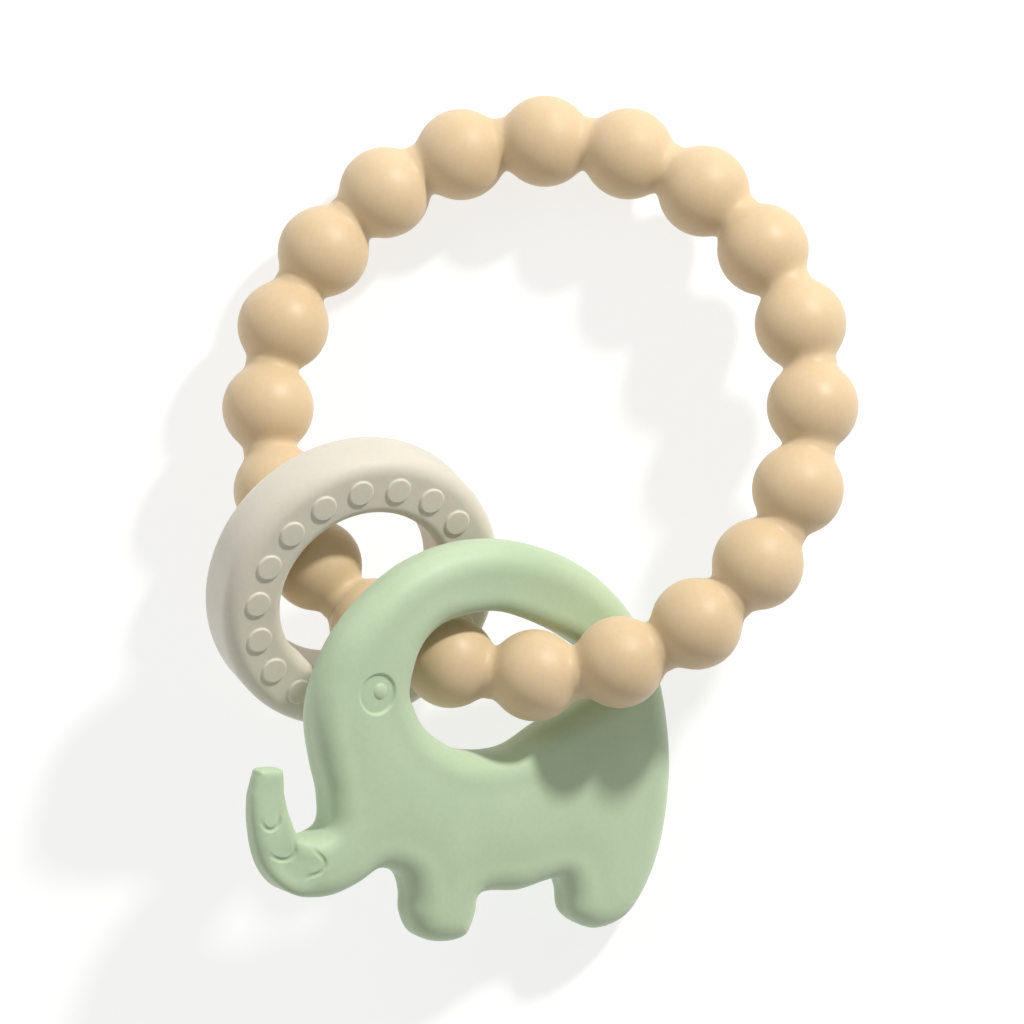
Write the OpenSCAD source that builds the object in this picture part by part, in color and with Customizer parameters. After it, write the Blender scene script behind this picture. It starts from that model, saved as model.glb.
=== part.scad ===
// Teething ring: a closed loop of moulded silicone beads that carries two
// closed silicone pendants, a dotted ring and an elephant.
// Millimetres, +Z up. The toy lies on the plane Z = 0, and the origin is
// the centre of its footprint.

/* [Beaded loop] */
// Number of beads round the loop, the closure bead included
bead_count = 20; // [20:1:20]
// Diameter of a bead
bead_d = 12.9; // [12:0.1:12.9]
// Radius of the circle through the bead centres
loop_r = 38.5; // [38.4:0.1:38.6]
// Diameter of the necks that join the beads
neck_d = 7.9; // [7:0.1:8.4]
// Angle of the first bead, counted from +X
first_bead_angle = 89.5; // [85:0.5:94]

/* [Closure] */
// Which bead is the closure bead, counted clockwise from the first
closure_index = 12; // [11:1:13]
// Diameter of the stems at the two ends of the strand
stem_d = 4.8; // [4:0.1:5]
// Thickness of the bond line round the stems and at the bead's ends
bond_gap = 0.1; // [0.05:0.05:0.2]
// Gap between the tips of the two stems, inside the closure bead
stem_tip_gap = 1.2; // [0.6:0.2:2]
// Distance from the closure bead's centre to the faces at its ends
closure_half_length = 5; // [4.8:0.1:5.1]

/* [Ring pendant] */
// Outer diameter of the ring
ring_od = 42; // [40:0.5:43]
// Diameter of its hole
ring_hole_d = 25; // [25:0.1:25.4]
// Thickness of the ring
ring_t = 9.7; // [9:0.1:9.8]
// Radius of its four rounded edges
ring_edge_r = 2.5; // [2:0.1:3]
// Raised dots on each face
dot_count = 18; // [12:1:20]
// Diameter of a dot
dot_d = 3.7; // [3:0.1:4]
// Height of a dot above the face
dot_h = 0.5; // [0.3:0.1:0.6]
// Radius of the circle through the dots
dot_circle_r = 16.5; // [16.3:0.1:16.8]

/* [Elephant pendant] */
// Thickness of the elephant
elephant_t = 9; // [8.4:0.1:9]
// Radius of the rounded lips of its hole
lip_r = 4; // [3:0.5:4]
// Diameter of the sunk eye
eye_d = 5.9; // [5:0.1:6.5]
// Diameter of the raised pupil
pupil_d = 2.2; // [1.8:0.1:2.6]
// Depth of the sunk eye
eye_depth = 0.4; // [0.3:0.05:0.6]
// Radius of each crescent crease on the trunk
crease_r = 1; // [0.9:0.05:1.05]
// Width of a crease
crease_w = 0.5; // [0.3:0.05:0.5]
// Depth of a crease
crease_depth = 0.3; // [0.2:0.05:0.35]

/* [How the toy lies] */
// Tilt of the loop's plane, because the loop lies on both pendants
loop_tilt = 13.5; // [13.5:0.1:14]
// Direction of the loop's high side, counted from +X
loop_high_side = -65; // [-67:1:-63]
// Height of the loop's centre above the table
loop_z = 15.45; // [15.45:0.05:16]
// Tilt of the ring pendant
ring_tilt = 36; // [36:0.5:37]
// Direction in which the ring's face leans
ring_lean = -47; // [-48:1:-46]
// Centre of the ring pendant, counted from the loop's centre
ring_at = [-26.4, -24.5, 2.7]; // [-28:0.1:4]
// Tilt of the elephant pendant
elephant_tilt = 34; // [34:0.5:35]
// Direction in which the elephant's face leans
elephant_lean = -20; // [-21:1:-19]
// Reference point of the elephant, counted from the loop's centre
elephant_at = [-10.4, -43, 7.35]; // [-45:0.05:9]
// Loop's centre, counted from the centre of the toy's footprint
loop_at = [1, 15.4]; // [0:0.1:16]

/* [Hidden] */
$fn = 64;
bead_pitch = 360 / bead_count;
closure_angle = first_bead_angle - closure_index * bead_pitch;
// Angles along the loop that the closure's lengths take up
closure_half_angle = asin(closure_half_length / loop_r);
bond_angle = asin(bond_gap / loop_r);
tip_half_angle = asin(stem_tip_gap / 2 / loop_r);
// How far a cutting solid runs past the face that it cuts
overrun = 1;

// Elephant's outline, clockwise from the tip of the trunk: X, Y and the
// radius of the rounded edge there
elephant_outline = [
    [-35.5, -6.9, 1.2], [-34.7, -4.9, 0.6], [-31.7, -4.9, 0.6], [-30.8, -6.9, 1.2],
    [-30.3, -9.5, 1.4], [-29.0, -12.6, 1.8], [-26.8, -14.3, 2.5], [-25.0, -13.2, 2.8],
    [-24.3, -10.5, 3.0], [-25.2, -6.5, 3.0], [-26.8, -2.0, 3.2], [-27.6, 2.5, 3.5],
    [-26.8, 7.8, 3.8], [-24.0, 14.4, 3.8], [-18.8, 20.3, 3.8], [-11.0, 24.5, 3.8],
    [-2.0, 25.9, 3.8], [7.0, 24.8, 3.8], [16.0, 21.0, 3.8], [23.5, 15.5, 3.8],
    [29.2, 8.3, 3.8], [32.2, 0.5, 3.8], [33.1, -9.0, 3.8], [32.0, -18.5, 3.8],
    [29.5, -25.5, 3.5], [26.5, -29.6, 3.0], [22.5, -31.2, 3.0], [18.6, -29.9, 2.8],
    [16.8, -26.8, 2.8], [16.0, -24.5, 3.0], [13.6, -23.6, 3.0], [9.0, -24.2, 3.0],
    [4.4, -24.8, 3.0], [2.5, -26.0, 2.8], [1.8, -28.4, 2.8], [0.1, -30.9, 2.8],
    [-3.0, -32.0, 3.0], [-6.4, -31.0, 3.0], [-8.5, -28.4, 3.0], [-9.4, -25.5, 3.0],
    [-10.1, -22.8, 3.0], [-11.8, -21.0, 3.0], [-14.4, -20.9, 3.0], [-17.6, -22.7, 3.0],
    [-21.5, -24.1, 3.0], [-25.8, -23.9, 2.6], [-29.6, -22.3, 2.0], [-32.8, -18.9, 1.6],
    [-35.0, -14.3, 1.4], [-35.9, -10.0, 1.4]
];
// Outline of the hole behind the head, clockwise
hole_outline = [
    [-10.7, 5.0], [-9.0, 10.8], [-4.6, 13.9], [2.0, 15.0], [9.0, 13.0], [16.0, 9.8],
    [21.2, 5.8], [22.2, 2.6], [18.5, -0.1], [12.0, -1.9], [6.0, -4.0], [-1.0, -4.4],
    [-6.8, -1.6], [-9.9, 1.8]
];
eye_at = [-18.4, 5.4];
pupil_at = [-17.9, 5.9];
// Crescents on the trunk: X, Y, the angle at which each starts and its span
trunk_creases = [
    [-33.0, -11.8, 195, 150], [-31.0, -16.2, 215, 150], [-27.2, -18.8, 260, 150]
];

// Point at t, from 0 to 1, on the smooth curve from b to c
function curve_point(a, b, c, d, t) =
    0.5 * (2 * b + (c - a) * t + (2 * a - 5 * b + 4 * c - d) * t ^ 2
        + (3 * b - a - 3 * c + d) * t ^ 3);

// Closed smooth curve through the points, with the given steps between two
function smooth_loop(points, steps) =
    let (n = len(points))
    [for (i = [0:n - 1], s = [0:steps - 1])
        curve_point(points[(i + n - 1) % n], points[i], points[(i + 1) % n],
            points[(i + 2) % n], s / steps)];

// Unit normal to the left of a closed curve at point i, so outward on a
// clockwise one
function left_normal(curve, i) =
    let (
        n = len(curve),
        run = curve[(i + 1) % n] - curve[(i + n - 1) % n]
    )
    [-run[1], run[0]] / norm([run[0], run[1]]);

// Curve moved along its left normals, at height z
function moved_ring(curve, shift, z) =
    [for (i = [0:len(curve) - 1])
        let (normal = left_normal(curve, i))
        [curve[i][0] + normal[0] * shift[i], curve[i][1] + normal[1] * shift[i], z[i]]];

// Twice the signed area of triangle a, b, c, negative where it runs clockwise
function turn(a, b, c) = (b[0] - a[0]) * (c[1] - a[1]) - (b[1] - a[1]) * (c[0] - a[0]);

// Whether the corner at place k of a clockwise polygon can be cut off as a triangle
function is_ear(ring, left, k) =
    let (
        n = len(left),
        a = ring[left[(k + n - 1) % n]],
        b = ring[left[k]],
        c = ring[left[(k + 1) % n]]
    )
    turn(a, b, c) < 0 && len([for (i = left)
        let (p = ring[i])
        if (p != a && p != b && p != c
            && turn(a, b, p) <= 0 && turn(b, c, p) <= 0 && turn(c, a, p) <= 0) i]) == 0;

// Triangles that fill a clockwise polygon, cut off one corner at a time
function fill_ring(ring, left, k = 0, done = []) =
    len(left) == 3 ? concat(done, [left])
    : is_ear(ring, left, k % len(left))
    ? let (n = len(left), j = k % n)
        fill_ring(ring, [for (i = [0:n - 1]) if (i != j) left[i]], j + 1,
            concat(done, [[left[(j + n - 1) % n], left[j], left[(j + 1) % n]]]))
    : fill_ring(ring, left, k + 1, done);

// Solid through a stack of rings that have the same number of points
module lofted(rings) {
    n = len(rings[0]);
    count = len(rings);
    top = (count - 1) * n;
    walls = [for (k = [0:count - 2], i = [0:n - 1])
        let (j = (i + 1) % n)
        [k * n + i, k * n + j, (k + 1) * n + j, (k + 1) * n + i]];
    floor_cap = [for (t = fill_ring(rings[0], [for (i = [0:n - 1]) i])) [t[2], t[1], t[0]]];
    roof_cap = [for (t = fill_ring(rings[count - 1], [for (i = [0:n - 1]) i]))
        [top + t[0], top + t[1], top + t[2]]];
    polyhedron([for (ring = rings) each ring], concat(floor_cap, roof_cap, walls));
}

// Slab with rounded edges: each point of the outline states its edge radius
module pillow_slab(outline, t) {
    curve = smooth_loop(outline, 3);
    rings = [for (side = [-1, 1], step = (side < 0 ? [3:-1:0] : [0:3]))
        let (a = 30 * step)
        moved_ring(curve, [for (p = curve) -p[2] * (1 - cos(a))],
            [for (p = curve) side * (t / 2 - p[2] * (1 - sin(a)))])];
    lofted(rings);
}

// Cutter for a hole through a slab, widened at both faces to leave round lips
module lipped_hole(outline, t, r) {
    curve = smooth_loop(outline, 4);
    rise = [for (step = [3:-1:0]) [r * (1 - cos(30 * step)), t / 2 - r * (1 - sin(30 * step))]];
    mouth = concat([[r, t / 2 + overrun]], rise);
    levels = concat([for (m = mouth) [m[0], -m[1]]], [for (i = [len(mouth) - 1:-1:0]) mouth[i]]);
    lofted([for (m = levels)
        moved_ring(curve, [for (p = curve) m[0]], [for (p = curve) m[1]])]);
}

// Lifts the side of a child that points along direction, about the origin
module lean_up(angle, direction) {
    rotate(a = angle, v = [sin(direction), -cos(direction), 0]) children();
}

// Leans a child's upward face over toward direction
module lean_over(angle, direction) {
    rotate(a = angle, v = [-sin(direction), cos(direction), 0]) children();
}

module from_loop_centre() {
    translate([loop_at[0], loop_at[1], loop_z]) children();
}

module on_loop_plane() {
    from_loop_centre() lean_up(loop_tilt, loop_high_side) children();
}

module bead(index) {
    rotate([0, 0, first_bead_angle - index * bead_pitch]) translate([loop_r, 0, 0]) sphere(d = bead_d);
}

// Round bar bent along the loop, from one angle to another
module bent_bar(d, from, to) {
    rotate([0, 0, from]) rotate_extrude(angle = to - from) translate([loop_r, 0]) circle(d = d);
}

module bead_strand() {
    neck_start = closure_angle + closure_half_angle + bond_angle;
    neck_end = closure_angle + 360 - closure_half_angle - bond_angle;
    color("#d8bf96") on_loop_plane() {
        union() {
            for (i = [0:bead_count - 1])
                if (i != closure_index) bead(i);
            bent_bar(neck_d, neck_start, neck_end);
            bent_bar(stem_d, closure_angle + tip_half_angle, neck_start + bead_pitch / 4);
            bent_bar(stem_d, neck_end - bead_pitch / 4, closure_angle + 360 - tip_half_angle);
        }
    }
}

module closure_bead() {
    color("#d8bf96") on_loop_plane() {
        difference() {
            intersection() {
                bead(closure_index);
                bent_bar(bead_d + overrun, closure_angle - closure_half_angle,
                    closure_angle + closure_half_angle);
            }
            bent_bar(stem_d + 2 * bond_gap, closure_angle - bead_pitch / 2,
                closure_angle + bead_pitch / 2);
        }
    }
}

module ring_section() {
    wall = (ring_od - ring_hole_d) / 2;
    translate([(ring_od + ring_hole_d) / 4, 0]) {
        square([wall, ring_t - 2 * ring_edge_r], center = true);
        square([wall - 2 * ring_edge_r, ring_t], center = true);
        for (x = [-1, 1], y = [-1, 1])
            translate([x * (wall / 2 - ring_edge_r), y * (ring_t / 2 - ring_edge_r)])
                circle(r = ring_edge_r);
    }
}

module ring_pendant() {
    dot_length = ring_t + 2 * dot_h;
    color("#d9d3c3") from_loop_centre() translate(ring_at) lean_over(ring_tilt, ring_lean) {
        union() {
            rotate_extrude() ring_section();
            for (i = [0:dot_count - 1])
                rotate([0, 0, i * 360 / dot_count])
                    translate([dot_circle_r, 0, -dot_length / 2])
                        cylinder(d = dot_d, h = dot_length);
        }
    }
}

// Sunk eye with its raised pupil, as the cutter that makes it in one face
module eye_cutter() {
    translate([0, 0, -eye_depth]) difference() {
        translate(eye_at) cylinder(d = eye_d, h = eye_depth + overrun);
        translate(pupil_at) cylinder(d = pupil_d, h = eye_depth);
    }
}

module crease_cutter(crease) {
    translate([crease[0], crease[1], -crease_depth]) rotate([0, 0, crease[2]])
        rotate_extrude(angle = crease[3])
            translate([crease_r - crease_w / 2, 0])
                square([crease_w, crease_depth + overrun]);
}

module face_relief() {
    translate([0, 0, elephant_t / 2]) {
        eye_cutter();
        for (crease = trunk_creases) crease_cutter(crease);
    }
}

module elephant_pendant() {
    color("#b2c6a3") from_loop_centre() translate(elephant_at) lean_over(elephant_tilt, elephant_lean) {
        difference() {
            pillow_slab(elephant_outline, elephant_t);
            lipped_hole(hole_outline, elephant_t, lip_r);
            face_relief();
            mirror([0, 0, 1]) face_relief();
        }
    }
}

bead_strand();
closure_bead();
ring_pendant();
elephant_pendant();
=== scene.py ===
import bmesh
import bpy
import math
import numpy as np
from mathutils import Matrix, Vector
from mathutils.geometry import delaunay_2d_cdt


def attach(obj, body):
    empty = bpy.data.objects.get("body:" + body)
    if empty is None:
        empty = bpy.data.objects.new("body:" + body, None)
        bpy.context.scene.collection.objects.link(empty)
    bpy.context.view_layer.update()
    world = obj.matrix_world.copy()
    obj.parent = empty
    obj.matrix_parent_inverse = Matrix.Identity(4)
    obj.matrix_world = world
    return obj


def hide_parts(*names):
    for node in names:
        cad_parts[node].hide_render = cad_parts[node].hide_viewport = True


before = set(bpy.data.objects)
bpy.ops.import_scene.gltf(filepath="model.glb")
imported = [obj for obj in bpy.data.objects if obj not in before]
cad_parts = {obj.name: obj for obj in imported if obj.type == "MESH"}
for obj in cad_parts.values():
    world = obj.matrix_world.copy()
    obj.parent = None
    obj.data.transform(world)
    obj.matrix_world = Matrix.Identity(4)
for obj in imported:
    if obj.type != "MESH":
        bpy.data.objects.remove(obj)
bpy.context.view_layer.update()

MM = 0.001

# ---------------------------------------------------------------- placement
LOOP_AT = np.array([1.0, 15.4, 15.45])
RING_AT = LOOP_AT + np.array([-26.4, -24.5, 2.7])
ELEPHANT_AT = LOOP_AT + np.array([-10.4, -43.0, 7.35])


def turn(angle, axis):
    a = math.radians(angle)
    v = np.array(axis, float) / np.linalg.norm(axis)
    k = np.array([[0, -v[2], v[1]], [v[2], 0, -v[0]], [-v[1], v[0], 0]])
    return np.eye(3) + math.sin(a) * k + (1 - math.cos(a)) * k @ k


def lean_up(angle, direction):
    d = math.radians(direction)
    return turn(angle, [math.sin(d), -math.cos(d), 0])


def lean_over(angle, direction):
    d = math.radians(direction)
    return turn(angle, [-math.sin(d), math.cos(d), 0])


def place(points, rotation, origin):
    return (np.asarray(points).reshape(-1, 3) @ rotation.T + origin) * MM


LOOP_TURN = lean_up(13.5, -65)
RING_TURN = lean_over(36, -47)
ELEPHANT_TURN = lean_over(34, -20)


def new_piece(name, points, faces):
    mesh = bpy.data.meshes.new(name)
    corners = [tuple(int(i) for i in f) for f in faces]
    mesh.from_pydata([tuple(p) for p in points], [], corners)
    mesh.update()
    piece = bpy.data.objects.new(name, mesh)
    bpy.context.scene.collection.objects.link(piece)
    bm = bmesh.new()
    bm.from_mesh(mesh)
    bmesh.ops.remove_doubles(bm, verts=bm.verts, dist=2e-6)
    bmesh.ops.recalc_face_normals(bm, faces=bm.faces)
    bm.to_mesh(mesh)
    bm.free()
    for polygon in mesh.polygons:
        polygon.use_smooth = True
    return piece


def smooth01(x):
    x = np.clip(x, 0.0, 1.0)
    return x * x * (3 - 2 * x)


# ------------------------------------------------------------- beaded strand
LOOP_R = 38.5
BEAD_R = 6.45
NECK_R = 3.8
STEM_R = 2.4
PITCH = 18.0
FIRST = 89.5
CLOSURE = FIRST - 12 * PITCH
CLOSURE_HALF = math.degrees(math.asin(5.0 / LOOP_R))
SEAM = math.degrees(math.asin(0.015 / LOOP_R))
TIP = math.degrees(math.asin(0.6 / LOOP_R))
FILLET = 0.95
AROUND = 80
V = np.linspace(0, 2 * math.pi, AROUND, endpoint=False)


def loop_point(angle, radius):
    """Points all round the loop's centre line, at a distance from it, at one angle of the loop."""
    a = math.radians(angle)
    out = np.array([math.cos(a), math.sin(a), 0.0])
    centre = LOOP_R * out
    e = np.cos(V)[:, None] * out + np.sin(V)[:, None] * np.array([0, 0, 1.0])
    return centre + e * np.broadcast_to(radius, V.shape)[:, None]


def skin_radius(angle):
    """Distance from the loop's centre line to the moulded skin: a sphere blended into its neck."""
    steps = (angle - CLOSURE) / PITCH
    bead = CLOSURE + round(steps) * PITCH
    a, b = math.radians(angle), math.radians(bead)
    out = np.array([math.cos(a), math.sin(a), 0.0])
    d = LOOP_R * (out - np.array([math.cos(b), math.sin(b), 0.0]))
    e = np.cos(V)[:, None] * out + np.sin(V)[:, None] * np.array([0, 0, 1.0])
    de = e @ d
    sphere = -de + np.sqrt(np.maximum(de * de - (d @ d - BEAD_R ** 2), 0))
    h = np.maximum(FILLET - np.abs(sphere - NECK_R), 0) / FILLET
    return np.maximum(sphere, NECK_R) + h * h * FILLET / 4


def half_steps():
    """Angles from a bead's centre to mid neck, closer together where the skin curves most."""
    fine = np.linspace(0, 9, 721)
    s = np.radians(fine) * LOOP_R
    r = np.sqrt(np.maximum(BEAD_R ** 2 - s ** 2, NECK_R ** 2))
    weight = np.hypot(np.gradient(s), np.gradient(r)) * (1 + 1.3 * np.exp(-((fine - 7.5) / 1.1) ** 2))
    run = np.concatenate([[0], np.cumsum(weight[1:])])
    return np.interp(np.linspace(0, run[-1], 21), run, fine)


def tube(rows, name, close_rows=False, caps=True):
    n = len(rows)
    points = np.concatenate(rows)
    faces = []
    last = n if close_rows else n - 1
    for k in range(last):
        a, b = k * AROUND, ((k + 1) % n) * AROUND
        for i in range(AROUND):
            j = (i + 1) % AROUND
            faces.append((a + i, a + j, b + j, b + i))
    if caps and not close_rows:
        points = np.concatenate([points, [rows[0].mean(axis=0)], [rows[-1].mean(axis=0)]])
        top, end = (n - 1) * AROUND, len(points) - 1
        for i in range(AROUND):
            j = (i + 1) % AROUND
            faces.append((end - 1, j, i))
            faces.append((end, top + i, top + j))
    return new_piece(name, place(points, LOOP_TURN, LOOP_AT), faces)


def strand_end(side):
    """Rows from a stem's tip, along it and up the end face to the skin, on one side of the closure."""
    mm = math.degrees(1 / LOOP_R)
    face = CLOSURE_HALF + SEAM
    rows = []
    for out, r in ((0.0, STEM_R - 0.5), (0.05, STEM_R - 0.2), (0.2, STEM_R - 0.05), (0.5, STEM_R)):
        rows.append((TIP + out * mm, r))
    for t in np.linspace(0.15, 1, 8):
        rows.append((TIP + (face - 0.25 * mm - TIP) * t, STEM_R))
    rows.append((face - 0.05 * mm, STEM_R + 0.08))
    rows.append((face, STEM_R + 0.25))
    skin = skin_radius(CLOSURE + side * (face + 0.03 * mm))
    found = [loop_point(CLOSURE + side * a, r) for a, r in rows]
    found.append(loop_point(CLOSURE + side * face, skin * 0.5 + (STEM_R + 0.25) * 0.5))
    found.append(loop_point(CLOSURE + side * face, skin - 0.04))
    found.append(loop_point(CLOSURE + side * (face + 0.009 * mm), skin - 0.011))
    found.append(loop_point(CLOSURE + side * (face + 0.03 * mm), skin))
    outer = CLOSURE + side * (face + 0.12 * mm)
    found.append(loop_point(outer, skin_radius(outer)))
    return found


def make_strand():
    half = half_steps()
    angles = []
    for bead in range(1, 20):
        centre = CLOSURE + bead * PITCH
        angles += [centre - a for a in half[::-1][1:]] + [centre + a for a in half[1:]]
    mm = math.degrees(1 / LOOP_R)
    first = CLOSURE + CLOSURE_HALF + SEAM + 0.35 * mm
    last = CLOSURE + 360 - CLOSURE_HALF - SEAM - 0.35 * mm
    lead = list(np.linspace(first, CLOSURE + PITCH / 2, 6))
    tail = list(np.linspace(CLOSURE + 360 - PITCH / 2, last, 6))
    rows = strand_end(1)
    rows += [loop_point(a, skin_radius(a)) for a in lead + angles + tail]
    rows += strand_end(-1)[::-1]
    return tube(rows, "strand_skin")


def make_closure():
    mm = math.degrees(1 / LOOP_R)
    bore = STEM_R + 0.1
    rows = []
    half = [a for a in half_steps() if a < CLOSURE_HALF - 0.4 * mm]
    skin = [-a for a in half[::-1]] + half[1:]
    end = CLOSURE_HALF
    for side in (-1, 1):
        face = [
            (end - 0.12 * mm, skin_radius(CLOSURE + side * (end - 0.12 * mm))),
            (end - 0.03 * mm, skin_radius(CLOSURE + side * (end - 0.03 * mm))),
            (end - 0.009 * mm, skin_radius(CLOSURE + side * end) - 0.011),
            (end, skin_radius(CLOSURE + side * end) - 0.04),
            (end, skin_radius(CLOSURE + side * end) * 0.5 + bore * 0.5),
            (end, bore + 0.25),
            (end - 0.08 * mm, bore + 0.06),
            (end - 0.3 * mm, bore),
        ]
        ring = [loop_point(CLOSURE + side * a, r) for a, r in face]
        if side < 0:
            rows += ring[::-1]
            rows += [loop_point(CLOSURE + a, skin_radius(CLOSURE + a)) for a in skin]
        else:
            rows += ring
    for a in np.linspace(end - 0.3 * mm, -(end - 0.3 * mm), 12)[1:-1]:
        rows.append(loop_point(CLOSURE + a, bore))
    return tube(rows, "closure_skin", close_rows=True)


# -------------------------------------------------------------- ring pendant
RING_OUT = 21.0
RING_IN = 12.5
RING_HALF = 4.85
EDGE_OUT = 2.3
EDGE_IN = 1.55
DOT_CIRCLE = 16.5
DOT_R = 1.85
DOT_H = 0.34
DOTS = 18
DOT_TURN = math.radians(-2.0)
SIDE_STEPS = 12


def make_ring():
    points = []
    faces = []

    def add(p):
        points.append(p)
        return len(points) - 1

    def at(r, a, z):
        return (r * math.cos(a), r * math.sin(a), z)

    def dot_height(rho):
        top = 0.02 * (1 - min(rho / DOT_R, 1) ** 2)
        return (DOT_H - 0.02 + top) * float(smooth01((DOT_R + 0.09 - rho) / 0.26))

    low, high = RING_IN + EDGE_IN, RING_OUT - EDGE_OUT
    half = math.pi / DOTS
    rims = [0.55, 1.05, 1.4, 1.6, 1.68, 1.73, 1.78, 1.83, 1.88, 1.94, 2.03]
    for face_side in (1, -1):
        for k in range(DOTS):
            mid = 2 * half * k + DOT_TURN
            border = []
            for i in range(SIDE_STEPS):
                border.append((high, mid - half + 2 * half * i / SIDE_STEPS))
            for i in range(SIDE_STEPS):
                border.append((high + (low - high) * i / SIDE_STEPS, mid + half))
            for i in range(SIDE_STEPS):
                border.append((low, mid + half - 2 * half * i / SIDE_STEPS))
            for i in range(SIDE_STEPS):
                border.append((low + (high - low) * i / SIDE_STEPS, mid - half))
            centre = np.array([DOT_CIRCLE * math.cos(mid), DOT_CIRCLE * math.sin(mid)])
            outer = [np.array([r * math.cos(a), r * math.sin(a)]) for r, a in border]
            rays = []
            for p in outer:
                d = p - centre
                rays.append(d / np.linalg.norm(d))
            hub = add((centre[0], centre[1], face_side * (RING_HALF + DOT_H)))
            rows = []
            for rho in rims:
                z = face_side * (RING_HALF + dot_height(rho))
                rows.append([add((*(centre + rho * d), z)) for d in rays])
            between = [0.55 * (centre + rims[-1] * d) + 0.45 * p for d, p in zip(rays, outer)]
            rows.append([add((*p, face_side * RING_HALF)) for p in between])
            rows.append([add((p[0], p[1], face_side * RING_HALF)) for p in outer])
            count = len(outer)
            for i in range(count):
                faces.append((hub, rows[0][i], rows[0][(i + 1) % count]))
            for a, b in zip(rows, rows[1:]):
                for i in range(count):
                    j = (i + 1) % count
                    faces.append((a[i], b[i], b[j], a[j]))
    section = []
    for i in range(0, 11):
        a = math.pi / 2 * (1 - i / 10)
        section.append((high + EDGE_OUT * math.cos(a), RING_HALF - EDGE_OUT * (1 - math.sin(a))))
    for i in range(1, 6):
        z = (RING_HALF - EDGE_OUT) * (1 - 2 * i / 6)
        section.append((RING_OUT, z))
    for i in range(0, 11):
        a = -math.pi / 2 * i / 10
        section.append((high + EDGE_OUT * math.cos(a), -(RING_HALF - EDGE_OUT) + EDGE_OUT * math.sin(a)))
    inner = []
    for i in range(0, 9):
        a = -math.pi / 2 - math.pi / 2 * i / 8
        inner.append((low + EDGE_IN * math.cos(a), -(RING_HALF - EDGE_IN) + EDGE_IN * math.sin(a)))
    for i in range(1, 6):
        z = -(RING_HALF - EDGE_IN) * (1 - 2 * i / 6)
        inner.append((RING_IN, z))
    for i in range(0, 9):
        a = math.pi - math.pi / 2 * i / 8
        inner.append((low + EDGE_IN * math.cos(a), RING_HALF - EDGE_IN + EDGE_IN * math.sin(a)))
    turns = DOTS * SIDE_STEPS
    for part in (section, inner):
        rows = []
        for r, z in part:
            rows.append([add(at(r, DOT_TURN - half + 2 * math.pi * i / turns, z)) for i in range(turns)])
        for a, b in zip(rows, rows[1:]):
            for i in range(turns):
                j = (i + 1) % turns
                faces.append((a[i], b[i], b[j], a[j]))
    return new_piece("ring_skin", place(points, RING_TURN, RING_AT), faces)


# ---------------------------------------------------------- elephant pendant
ELEPHANT_HALF = 4.5
LIP = 4.0
# X, Y and the radius of the rounded edge there. A fitting script worked most of these points out
# from the photograph's silhouette, and only the trunk's tip was typed: report.md says what that breaks.
OUTLINE = [
    (-34.5, -8.2, 1.2), (-34.1, -6.6, 0.8), (-33.5, -5.7, 0.6), (-30.4, -5.8, 0.6),
    (-29.9, -6.6, 0.8), (-29.7, -8.2, 1.2), (-29.6, -9.3, 1.4), (-28.7, -12.5, 1.8),
    (-26.9, -15.7, 2.5), (-22.7, -14.7, 2.8), (-22.7, -10.5, 3.0), (-24.0, -6.2, 3.0),
    (-25.3, -1.6, 3.2), (-25.6, 2.5, 3.5), (-24.7, 7.2, 3.8), (-21.8, 13.0, 3.8),
    (-17.1, 18.1, 3.8), (-10.4, 22.5, 3.8), (-2.0, 24.7, 3.8), (6.8, 24.2, 3.8),
    (16.0, 21.0, 3.8), (23.5, 15.5, 3.8), (29.0, 8.2, 3.8), (31.9, 0.5, 3.8),
    (33.5, -9.0, 3.8), (33.0, -18.8, 3.8), (30.8, -26.1, 3.5), (27.4, -30.6, 3.0),
    (22.5, -32.2, 3.0), (18.4, -30.2, 2.8), (17.4, -26.5, 2.8), (16.0, -24.5, 3.0),
    (13.6, -24.7, 3.0), (9.2, -25.7, 3.0), (4.6, -25.5, 3.0), (2.5, -26.0, 2.8),
    (2.1, -28.5, 2.8), (0.6, -31.6, 2.8), (-3.0, -32.3, 3.0), (-6.6, -31.2, 3.0),
    (-8.3, -28.3, 3.0), (-8.6, -25.2, 3.0), (-9.7, -22.6, 3.0), (-11.9, -21.3, 3.0),
    (-14.3, -21.1, 3.0), (-17.5, -22.9, 3.0), (-21.5, -24.3, 3.0), (-25.9, -24.2, 2.6),
    (-29.8, -22.6, 2.0), (-33.0, -19.0, 1.6), (-34.5, -13.9, 1.4), (-34.8, -9.9, 1.4),
]
# X and Y, round the hole behind the head, from the same fitting script.
HOLE = [
    (-10.4, 5.0), (-8.8, 10.6), (-4.6, 13.9), (2.0, 15.0), (9.0, 13.0), (16.0, 9.8),
    (21.2, 5.8), (22.2, 2.6), (18.3, 0.5), (12.3, -2.2), (6.3, -5.2), (-1.1, -5.0),
    (-6.9, -1.8), (-9.6, 2.0),
]
EYE = np.array([-17.2, 4.7])
EYE_R = 2.95
EYE_DEPTH = 0.40
PUPIL = np.array([-16.7, 5.1])
PUPIL_R = 1.15
PUPIL_H = 0.42
# The trunk starts left of this X; it is thinner than the body, with a smaller rounded edge
TRUNK_X = -24.5
TRUNK_EDGE = 1.85
TRUNK_THIN = 2.2
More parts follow.
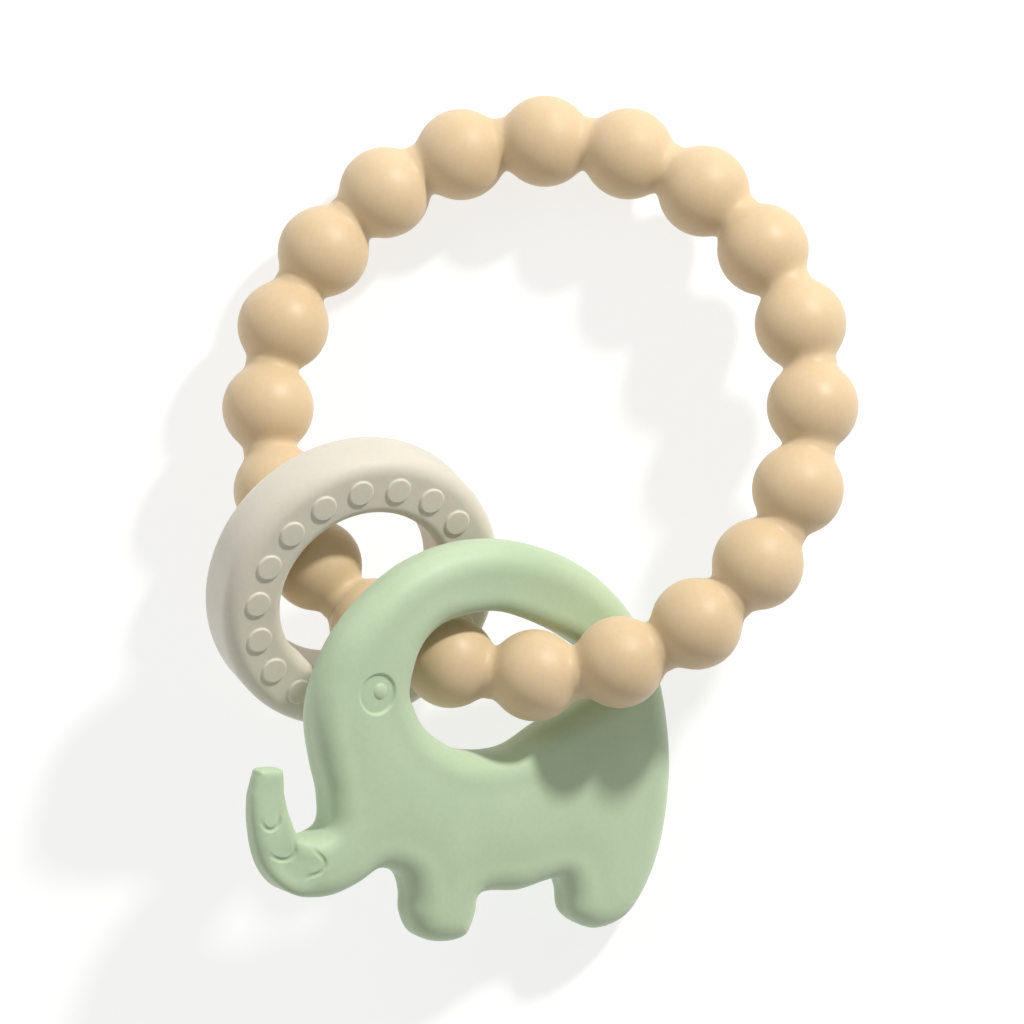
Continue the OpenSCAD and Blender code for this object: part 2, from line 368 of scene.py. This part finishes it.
# Small curved creases on the trunk: the path of each, its half width and its depth. The points were
# copied from a measuring script's output.
CREASES = [
    ([(-33.4, -13.2), (-32.7, -14.0), (-31.7, -14.1), (-30.8, -13.4), (-30.6, -12.2)], 0.42, 0.26),
    ([(-31.8, -17.9), (-30.4, -18.5), (-29.1, -18.4), (-28.3, -17.5), (-28.4, -16.2)], 0.42, 0.26),
    ([(-25.6, -17.3), (-24.6, -18.3), (-24.3, -19.3), (-25.0, -20.3), (-26.6, -20.9)], 0.42, 0.26),
]


def smooth_loop(points, steps):
    p = np.array(points, float)
    n = len(p)
    found = []
    for i in range(n):
        a, b, c, d = p[(i - 1) % n], p[i], p[(i + 1) % n], p[(i + 2) % n]
        for s in range(steps):
            t = s / steps
            found.append(0.5 * (2 * b + (c - a) * t + (2 * a - 5 * b + 4 * c - d) * t ** 2
                                + (3 * b - a - 3 * c + d) * t ** 3))
    return np.array(found)


def left_normals(curve):
    run = np.roll(curve, -1, axis=0)[:, :2] - np.roll(curve, 1, axis=0)[:, :2]
    normal = np.stack([-run[:, 1], run[:, 0]], axis=1)
    return normal / np.linalg.norm(normal, axis=1)[:, None]


def distance_to(points, curve, closed=True):
    """Distance from each point to a curve, and the place along the curve, in segments."""
    a = curve if closed else curve[:-1]
    b = np.roll(curve, -1, axis=0) if closed else curve[1:]
    ab = b - a
    best = np.full(len(points), 1e9)
    where = np.zeros(len(points))
    for k in range(len(a)):
        t = np.clip(((points - a[k]) @ ab[k]) / (ab[k] @ ab[k]), 0, 1)
        d = np.linalg.norm(points - (a[k] + t[:, None] * ab[k]), axis=1)
        near = d < best
        best = np.where(near, d, best)
        where = np.where(near, k + t, where)
    return best, where


def inside(points, polygon):
    x, y = points[:, 0], points[:, 1]
    odd = np.zeros(len(points), bool)
    n = len(polygon)
    for i in range(n):
        x0, y0 = polygon[i]
        x1, y1 = polygon[(i + 1) % n]
        crossing = (y0 > y) != (y1 > y)
        at = (x1 - x0) * (y - y0) / ((y1 - y0) if y1 != y0 else 1e-12) + x0
        odd ^= crossing & (x < at)
    return odd


def crease_curve(path):
    p = np.array(path, float)
    p = np.vstack([2 * p[0] - p[1], p, 2 * p[-1] - p[-2]])
    found = []
    for i in range(1, len(p) - 2):
        a, b, c, d = p[i - 1], p[i], p[i + 1], p[i + 2]
        for s in range(6):
            t = s / 6
            found.append(0.5 * (2 * b + (c - a) * t + (2 * a - 5 * b + 4 * c - d) * t ** 2
                                + (3 * b - a - 3 * c + d) * t ** 3))
    found.append(p[-2])
    return np.array(found)


def make_elephant():
    outline = smooth_loop(OUTLINE, 6)
    rim_r = outline[:, 2].copy()
    rim = outline[:, :2]
    hole = smooth_loop([(x, y, LIP) for x, y in HOLE], 16)[:, :2]
    rim_normal = left_normals(rim)
    hole_normal = left_normals(hole)
    soft = np.where(rim[:, 1] < -19, 1.25, 1.08)
    rim_r = np.minimum(rim_r * soft, 4.1)
    trunk = smooth01((TRUNK_X - rim[:, 0]) / 4.0)
    rim_r = rim_r * (1 - trunk) + TRUNK_EDGE * trunk
    rim_r = rim_r - 0.55 * trunk * smooth01((rim[:, 1] + 16.0) / 9.0)
    creases = [(crease_curve(path), w, h) for path, w, h in CREASES]
    along_hole = np.arange(len(hole)) / 16
    lip_r = LIP - 1.4 * smooth01((along_hole - 1.6) / 1.2) * smooth01((6.0 - along_hole) / 1.0)

    def fall(d, r):
        x = np.clip(1 - d / r, 0, 1)
        round_part = r * (1 - np.sqrt(np.maximum(1 - x * x, 0)))
        tail = 0.32 * (1 - x * x) * np.exp(-(np.maximum(d - r, 0) / 3.0) ** 2)
        return round_part + tail

    def height(points):
        """Height of the top face over a point of the flat outline."""
        d, where = distance_to(points, rim)
        r = np.interp(where, np.arange(len(rim) + 1), np.append(rim_r, rim_r[0]))
        dh, place_h = distance_to(points, hole)
        rh = np.interp(place_h, np.arange(len(hole) + 1), np.append(lip_r, lip_r[0]))
        thin = TRUNK_THIN * smooth01((TRUNK_X + 1 - points[:, 0]) / 7.0)
        thin = thin * smooth01((points[:, 1] + 27) / 9)
        thin = thin * (1 + 0.25 * smooth01((points[:, 1] + 17) / 10))
        z = ELEPHANT_HALF - thin - fall(d, r) - fall(dh, rh)
        eye = np.linalg.norm(points - EYE, axis=1)
        bowl = 0.62 + 0.38 * (np.clip(eye, 0, EYE_R) / EYE_R) ** 2
        sunk = EYE_DEPTH * smooth01((EYE_R + 0.1 - eye) / 0.42) * bowl
        pupil = np.linalg.norm(points - PUPIL, axis=1)
        dome = PUPIL_H * np.sqrt(np.clip(1 - (pupil / PUPIL_R) ** 2, 0, 1)) ** 1.2
        z = z - sunk + dome
        for curve, w, h in creases:
            dc, along = distance_to(points, curve, closed=False)
            end = np.clip(np.minimum(along, len(curve) - 1 - along) / 5.0, 0, 1)
            z = z - h * (0.35 + 0.65 * end) * smooth01((w - dc) / w * 1.35)
        return z

    # Rows that both faces share near the walls, as angles of the rounded edge
    steps = np.radians([0, 9, 18, 27, 36, 46])
    points = []
    faces = []
    loops = []
    for curve, normal, r, sign in ((rim, rim_normal, rim_r, -1), (hole, hole_normal, lip_r, 1)):
        flat_rows = [curve + sign * normal * (r * (1 - math.cos(a)))[:, None] for a in steps]
        heights = [height(row) for row in flat_rows]
        bottom = [np.column_stack([row, -z]) for row, z in zip(flat_rows, heights)][::-1]
        top = [np.column_stack([row, z]) for row, z in zip(flat_rows, heights)]
        wall = [np.column_stack([curve, heights[0] * t]) for t in (-0.6, -0.2, 0.2, 0.6)]
        rows = bottom + wall + top
        base = len(points)
        n = len(curve)
        for row in rows:
            points.extend(map(tuple, row))
        for k in range(len(rows) - 1):
            for i in range(n):
                j = (i + 1) % n
                a, b = base + k * n, base + (k + 1) * n
                faces.append((a + i, a + j, b + j, b + i))
        loops.append((flat_rows[-1], base, base + (len(rows) - 1) * n, n))

    inner_rim, inner_hole = loops[0][0], loops[1][0]
    # Points of the faces' insides: rows that follow the edges, an even field, and the carved details
    extra = []
    for curve, normal, r, sign in ((rim, rim_normal, rim_r, -1), (hole, hole_normal, lip_r, 1)):
        for a in (0.42, 0.55, 0.69, 0.84, 1.0, 1.18):
            row = curve + sign * normal * (r * a)[:, None]
            true, _ = distance_to(row, curve)
            keep = true > r * a * 0.985
            extra.append(row[keep])
    field = []
    step = 0.85
    for j, y in enumerate(np.arange(-33, 27, step * 0.866)):
        for x in np.arange(-37 + (j % 2) * step / 2, 34, step):
            field.append((x, y))
    field = np.array(field)
    d, where = distance_to(field, rim)
    r = np.interp(where, np.arange(len(rim) + 1), np.append(rim_r, rim_r[0]))
    dh, _ = distance_to(field, hole)
    clear = (d > r * 1.18 + 0.35) & (dh > LIP * 1.18 + 0.35)
    ok = inside(field, rim) & ~inside(field, hole) & clear
    field_points = field[ok]
    detail = []
    for rho in (0.35, 0.7, 1.05, 1.4, 1.75, 2.1, 2.35, 2.5, 2.6,
                2.68, 2.76, 2.84, 2.92, 3.0, 3.06, 3.15, 3.35, 3.7):
        count = 72 if rho > 2 else 36
        for k in range(count):
            a = 2 * math.pi * (k + 0.5 * (rho % 0.2 > 0.1)) / count
            detail.append(EYE + rho * np.array([math.cos(a), math.sin(a)]))
    detail = np.array(detail)
    detail = detail[np.linalg.norm(detail - PUPIL, axis=1) > 1.5]
    pupil = [PUPIL]
    for rho in (0.25, 0.5, 0.75, 0.9, 1.0, 1.07, 1.12, 1.16, 1.22, 1.35):
        for k in range(40):
            a = 2 * math.pi * k / 40
            pupil.append(PUPIL + rho * np.array([math.cos(a), math.sin(a)]))
    carved = []
    for curve, w, h in creases:
        n2 = np.gradient(curve, axis=0)
        n2 = np.stack([-n2[:, 1], n2[:, 0]], axis=1)
        n2 /= np.linalg.norm(n2, axis=1)[:, None]
        for off in (-0.75, -0.55, -0.45, -0.35, -0.25, -0.15, 0, 0.15, 0.25, 0.35, 0.45, 0.55, 0.75):
            carved.append(curve + n2 * off)
    carved = np.vstack(carved)
    base_points = np.vstack(extra + [field_points])
    dc = np.min([distance_to(base_points, c, closed=False)[0] for c, _, _ in creases], axis=0)
    off_eye = np.linalg.norm(base_points - EYE, axis=1) >= 4.0
    base_points = base_points[off_eye & (dc > 1.0)]
    steiner = np.vstack([base_points, detail, np.array(pupil), carved])
    good = inside(steiner, inner_rim) & ~inside(steiner, inner_hole)
    steiner = steiner[good]
    d1, _ = distance_to(steiner, inner_rim)
    d2, _ = distance_to(steiner, inner_hole)
    steiner = steiner[(d1 > 0.12) & (d2 > 0.12)]
    # One point of each close pair is dropped
    order = np.lexsort((steiner[:, 1], steiner[:, 0]))
    steiner = steiner[order]
    kept = []
    cells = {}
    for p in steiner:
        key = (int(math.floor(p[0] / 0.1)), int(math.floor(p[1] / 0.1)))
        close = False
        for dx in (-1, 0, 1):
            for dy in (-1, 0, 1):
                for q in cells.get((key[0] + dx, key[1] + dy), ()):
                    if (p[0] - q[0]) ** 2 + (p[1] - q[1]) ** 2 < 0.055 ** 2:
                        close = True
        if not close:
            cells.setdefault(key, []).append(p)
            kept.append(p)
    steiner = np.array(kept)
    flat = np.vstack([inner_rim, inner_hole, steiner])
    n1, n2 = len(inner_rim), len(inner_hole)
    edges = [(i, (i + 1) % n1) for i in range(n1)] + [(n1 + i, n1 + (i + 1) % n2) for i in range(n2)]
    vo, _, fo, _, _, _ = delaunay_2d_cdt([Vector(p) for p in flat], edges, [], 0, 1e-7)
    out = np.array([tuple(v) for v in vo])
    tri = np.array([f for f in fo if len(f) == 3])
    mids = out[tri].mean(axis=1)
    tri = tri[inside(mids, inner_rim) & ~inside(mids, inner_hole)]
    z = height(out)
    for side in (1, -1):
        base = len(points)
        points.extend((p[0], p[1], side * h) for p, h in zip(out, z))
        faces.extend((base + a, base + b, base + c) for a, b, c in tri)
    return new_piece("elephant_skin", place(points, ELEPHANT_TURN, ELEPHANT_AT), faces)


# ------------------------------------------------------------------ silicone
def silicone(name, colour, deep, pale, roughness=0.46, dust=0.12):
    """Satin silicone: soft cloudy colour, a faint powdery bloom, and a fine moulded grain."""
    mat = bpy.data.materials.new(name)
    mat.use_nodes = True
    nodes, links = mat.node_tree.nodes, mat.node_tree.links
    shader = nodes["Principled BSDF"]
    place_node = nodes.new("ShaderNodeTexCoord")

    cloud = nodes.new("ShaderNodeTexNoise")
    cloud.inputs["Scale"].default_value = 55.0
    cloud.inputs["Detail"].default_value = 3.0
    cloud.inputs["Roughness"].default_value = 0.55
    links.new(place_node.outputs["Object"], cloud.inputs["Vector"])
    tint = nodes.new("ShaderNodeValToRGB")
    tint.color_ramp.elements[0].position = 0.28
    tint.color_ramp.elements[0].color = (*deep, 1)
    tint.color_ramp.elements[1].position = 0.72
    tint.color_ramp.elements[1].color = (*pale, 1)
    middle = tint.color_ramp.elements.new(0.5)
    middle.color = (*colour, 1)
    links.new(cloud.outputs["Fac"], tint.inputs["Fac"])

    speck = nodes.new("ShaderNodeTexNoise")
    speck.inputs["Scale"].default_value = 1500.0
    speck.inputs["Detail"].default_value = 2.0
    links.new(place_node.outputs["Object"], speck.inputs["Vector"])
    speck_ramp = nodes.new("ShaderNodeValToRGB")
    speck_ramp.color_ramp.elements[0].position = 0.3
    speck_ramp.color_ramp.elements[0].color = (0.94, 0.94, 0.94, 1)
    speck_ramp.color_ramp.elements[1].position = 0.7
    speck_ramp.color_ramp.elements[1].color = (1.0, 1.0, 1.0, 1)
    links.new(speck.outputs["Fac"], speck_ramp.inputs["Fac"])
    mix = nodes.new("ShaderNodeMix")
    mix.data_type = "RGBA"
    mix.blend_type = "MULTIPLY"
    mix.inputs["Factor"].default_value = 0.6
    links.new(tint.outputs["Color"], mix.inputs["A"])
    links.new(speck_ramp.outputs["Color"], mix.inputs["B"])
    links.new(mix.outputs["Result"], shader.inputs["Base Color"])

    wear = nodes.new("ShaderNodeTexNoise")
    wear.inputs["Scale"].default_value = 160.0
    wear.inputs["Detail"].default_value = 5.0
    links.new(place_node.outputs["Object"], wear.inputs["Vector"])
    span = nodes.new("ShaderNodeMapRange")
    span.inputs["From Min"].default_value = 0.3
    span.inputs["From Max"].default_value = 0.7
    span.inputs["To Min"].default_value = roughness - 0.06
    span.inputs["To Max"].default_value = roughness + 0.08
    links.new(wear.outputs["Fac"], span.inputs["Value"])
    links.new(span.outputs["Result"], shader.inputs["Roughness"])

    grain = nodes.new("ShaderNodeTexNoise")
    grain.inputs["Scale"].default_value = 2600.0
    grain.inputs["Detail"].default_value = 3.0
    links.new(place_node.outputs["Object"], grain.inputs["Vector"])
    wave = nodes.new("ShaderNodeTexNoise")
    wave.inputs["Scale"].default_value = 130.0
    wave.inputs["Detail"].default_value = 2.0
    links.new(place_node.outputs["Object"], wave.inputs["Vector"])
    wave_bump = nodes.new("ShaderNodeBump")
    wave_bump.inputs["Strength"].default_value = 0.25
    wave_bump.inputs["Distance"].default_value = 0.00025
    links.new(wave.outputs["Fac"], wave_bump.inputs["Height"])
    grain_bump = nodes.new("ShaderNodeBump")
    grain_bump.inputs["Strength"].default_value = 0.22
    grain_bump.inputs["Distance"].default_value = 0.00003
    links.new(grain.outputs["Fac"], grain_bump.inputs["Height"])
    links.new(wave_bump.outputs["Normal"], grain_bump.inputs["Normal"])
    links.new(grain_bump.outputs["Normal"], shader.inputs["Normal"])

    shader.inputs["Specular IOR Level"].default_value = 0.42
    shader.inputs["IOR"].default_value = 1.41
    shader.inputs["Sheen Weight"].default_value = dust
    shader.inputs["Sheen Roughness"].default_value = 0.55
    shader.inputs["Subsurface Weight"].default_value = 0.22
    shader.inputs["Subsurface Radius"].default_value = (1.0, 0.7, 0.45)
    shader.inputs["Subsurface Scale"].default_value = 0.0022
    return mat


SAND = silicone("sand_silicone", (0.655, 0.495, 0.300), (0.625, 0.468, 0.275), (0.685, 0.522, 0.325))
STONE = silicone("stone_silicone", (0.625, 0.588, 0.490), (0.600, 0.563, 0.465), (0.650, 0.613, 0.515),
                 0.52, 0.30)
SAGE = silicone("sage_silicone", (0.450, 0.567, 0.376), (0.426, 0.545, 0.354), (0.474, 0.589, 0.398),
                0.48, 0.18)

strand = make_strand()
closure = make_closure()
ring = make_ring()
elephant = make_elephant()
for piece, material, node, body in (
    (strand, SAND, "bead_strand", "loop"),
    (closure, SAND, "closure_bead", "loop"),
    (ring, STONE, "ring_pendant", "ring"),
    (elephant, SAGE, "elephant_pendant", "elephant"),
):
    piece.data.materials.append(material)
    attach(piece, body)
    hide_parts(node)


# --------------------------------------------------------------------- stage
def make_floor():
    size = 3.0
    mesh = bpy.data.meshes.new("floor")
    corners = [(-size, -size, 0), (size, -size, 0), (size, size, 0), (-size, size, 0)]
    mesh.from_pydata(corners, [], [(0, 1, 2, 3)])
    floor = bpy.data.objects.new("floor", mesh)
    bpy.context.scene.collection.objects.link(floor)
    mat = bpy.data.materials.new("pale_floor")
    mat.use_nodes = True
    nodes, links = mat.node_tree.nodes, mat.node_tree.links
    shader = nodes["Principled BSDF"]
    where = nodes.new("ShaderNodeTexCoord")
    noise = nodes.new("ShaderNodeTexNoise")
    noise.inputs["Scale"].default_value = 20.0
    links.new(where.outputs["Object"], noise.inputs["Vector"])
    ramp = nodes.new("ShaderNodeValToRGB")
    ramp.color_ramp.elements[0].color = (0.31, 0.31, 0.306, 1)
    ramp.color_ramp.elements[1].color = (0.33, 0.33, 0.326, 1)
    links.new(noise.outputs["Fac"], ramp.inputs["Fac"])
    links.new(ramp.outputs["Color"], shader.inputs["Base Color"])
    shader.inputs["Roughness"].default_value = 0.9
    shader.inputs["Specular IOR Level"].default_value = 0.1
    shader.inputs["Emission Color"].default_value = (1.0, 1.0, 0.99, 1)
    shader.inputs["Emission Strength"].default_value = 0.72
    mesh.materials.append(mat)


make_floor()


def area_light(name, direction, distance, size, power, colour=(1, 1, 1)):
    data = bpy.data.lights.new(name, "AREA")
    data.shape = "DISK"
    data.size = size
    data.energy = power
    data.color = colour
    lamp = bpy.data.objects.new(name, data)
    aim = Vector((-0.003, -0.005, 0.02))
    d = Vector(direction).normalized()
    lamp.location = aim + d * distance
    lamp.rotation_euler = d.to_track_quat("Z", "Y").to_euler()
    bpy.context.scene.collection.objects.link(lamp)


area_light("key", (0.493, 0.678, 0.545), 1.3, 0.12, 16.0, (1.0, 0.985, 0.965))
area_light("left_fill", (-0.62, 0.42, 0.66), 1.2, 0.7, 2.4, (0.98, 0.99, 1.0))

world = bpy.data.worlds.new("studio")
bpy.context.scene.world = world
world.use_nodes = True
world.node_tree.nodes["Background"].inputs["Color"].default_value = (1.0, 1.0, 1.0, 1)
world.node_tree.nodes["Background"].inputs["Strength"].default_value = 0.43

camera_data = bpy.data.cameras.new("camera")
camera = bpy.data.objects.new("camera", camera_data)
bpy.context.scene.collection.objects.link(camera)
reach = 2.0
view_width = 0.1441
camera_data.sensor_width = 36.0
camera_data.lens = 36.0 * reach / view_width
camera_data.clip_end = 20.0
camera.location = (-0.0029, 0.00065, 0.015 + reach)
camera.rotation_euler = (0, 0, 0)
bpy.context.scene.camera = camera
bpy.context.scene.view_settings.view_transform = "Standard"
